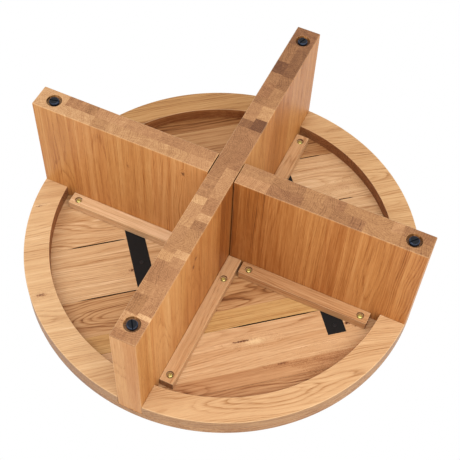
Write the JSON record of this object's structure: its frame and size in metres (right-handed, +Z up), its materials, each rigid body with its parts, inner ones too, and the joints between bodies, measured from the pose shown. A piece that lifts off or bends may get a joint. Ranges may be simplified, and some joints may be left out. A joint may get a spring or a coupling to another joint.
{
  "type": "round coffee table",
  "caption": "Round solid-oak coffee table whose base is crossed thick boards from rim to rim, with screwed corner cleats and slotted levelling glides.",
  "frame": {"origin": "on the floor under the middle of the round top, in the plane of the four glide faces", "axes": "+Z up, +X along the long board of the base, +Y along the two half boards; the planks of the top lie at 51 degrees from +X towards +Y"},
  "size_m": [0.8, 0.8, 0.281],
  "materials": {
    "oak_top": "clear matt oil",
    "oak_rim": "clear matt oil",
    "oak_board": "clear matt oil",
    "oak_cleat": "planed, clear matt oil",
    "beech_dowel": "plain",
    "yellow_zinc": "yellow-passivated zinc",
    "black_steel": "matt black powder coat",
    "black_zinc": "black",
    "insert_brass": "plain",
    "stud_steel": "bright zinc",
    "black_plastic": "fine satin moulding"
  },
  "bodies": {
    "table": {"plank_1": "oak_top", "plank_2": "oak_top", "plank_3": "oak_top", "plank_4": "oak_top", "plank_5": "oak_top", "plank_6": "oak_top", "plank_7": "oak_top", "rim_arc_1": "oak_rim", "rim_arc_2": "oak_rim", "rim_arc_3": "oak_rim", "rim_arc_4": "oak_rim", "long_board": "oak_board", "half_board_back": "oak_board", "half_board_front": "oak_board", "dowel_low": "beech_dowel", "dowel_high": "beech_dowel", "cleat_right_a": "oak_cleat", "cleat_right_b": "oak_cleat", "cleat_back_a": "oak_cleat", "cleat_back_b": "oak_cleat", "cleat_left_a": "oak_cleat", "cleat_left_b": "oak_cleat", "cleat_front_a": "oak_cleat", "cleat_front_b": "oak_cleat", "cleat_screw_right_a_inner": "yellow_zinc", "cleat_screw_right_a_outer": "yellow_zinc", "cleat_screw_right_b_inner": "yellow_zinc", "cleat_screw_right_b_outer": "yellow_zinc", "cleat_screw_back_a_inner": "yellow_zinc", "cleat_screw_back_a_outer": "yellow_zinc", "cleat_screw_back_b_inner": "yellow_zinc", "cleat_screw_back_b_outer": "yellow_zinc", "cleat_screw_left_a_inner": "yellow_zinc", "cleat_screw_left_a_outer": "yellow_zinc", "cleat_screw_left_b_inner": "yellow_zinc", "cleat_screw_left_b_outer": "yellow_zinc", "cleat_screw_front_a_inner": "yellow_zinc", "cleat_screw_front_a_outer": "yellow_zinc", "cleat_screw_front_b_inner": "yellow_zinc", "cleat_screw_front_b_outer": "yellow_zinc", "steel_bar_back": "black_steel", "steel_bar_front": "black_steel", "bar_screw_back_1": "black_zinc", "bar_screw_back_2": "black_zinc", "bar_screw_back_3": "black_zinc", "bar_screw_front_1": "black_zinc", "bar_screw_front_2": "black_zinc", "bar_screw_front_3": "black_zinc", "insert_right": "insert_brass", "insert_back": "insert_brass", "insert_left": "insert_brass", "insert_front": "insert_brass"},
    "glide_right_stud": {"glide_stud_right": "stud_steel"},
    "glide_right_disc": {"glide_disc_right": "black_plastic"},
    "glide_back_stud": {"glide_stud_back": "stud_steel"},
    "glide_back_disc": {"glide_disc_back": "black_plastic"},
    "glide_left_stud": {"glide_stud_left": "stud_steel"},
    "glide_left_disc": {"glide_disc_left": "black_plastic"},
    "glide_front_stud": {"glide_stud_front": "stud_steel"},
    "glide_front_disc": {"glide_disc_front": "black_plastic"}
  },
  "joints": [
    {"name": "glide_right_travel", "type": "slide", "parent": "table", "child": "glide_right_stud", "axis": [0, 0, -1], "range_m": [0, 0.008]},
    {"name": "glide_right_turn", "type": "hinge", "parent": "glide_right_stud", "child": "glide_right_disc", "pos_m": [0.36453, 0, 0], "axis": [0, 0, -1], "range_deg": [0, 2300]},
    {"name": "glide_back_travel", "type": "slide", "parent": "table", "child": "glide_back_stud", "axis": [0, 0, -1], "range_m": [0, 0.008]},
    {"name": "glide_back_turn", "type": "hinge", "parent": "glide_back_stud", "child": "glide_back_disc", "pos_m": [0, 0.36453, 0], "axis": [0, 0, -1], "range_deg": [0, 2300]},
    {"name": "glide_left_travel", "type": "slide", "parent": "table", "child": "glide_left_stud", "axis": [0, 0, -1], "range_m": [0, 0.008]},
    {"name": "glide_left_turn", "type": "hinge", "parent": "glide_left_stud", "child": "glide_left_disc", "pos_m": [-0.36453, 0, 0], "axis": [0, 0, -1], "range_deg": [0, 2300]},
    {"name": "glide_front_travel", "type": "slide", "parent": "table", "child": "glide_front_stud", "axis": [0, 0, -1], "range_m": [0, 0.008]},
    {"name": "glide_front_turn", "type": "hinge", "parent": "glide_front_stud", "child": "glide_front_disc", "pos_m": [0, -0.36453, 0], "axis": [0, 0, -1], "range_deg": [0, 2300]}
  ],
  "couplings": [
    {"joint": "glide_right_travel", "follows": "glide_right_turn", "m_per_rad": 0.00019894},
    {"joint": "glide_back_travel", "follows": "glide_back_turn", "m_per_rad": 0.00019894},
    {"joint": "glide_left_travel", "follows": "glide_left_turn", "m_per_rad": 0.00019894},
    {"joint": "glide_front_travel", "follows": "glide_front_turn", "m_per_rad": 0.00019894}
  ]
}
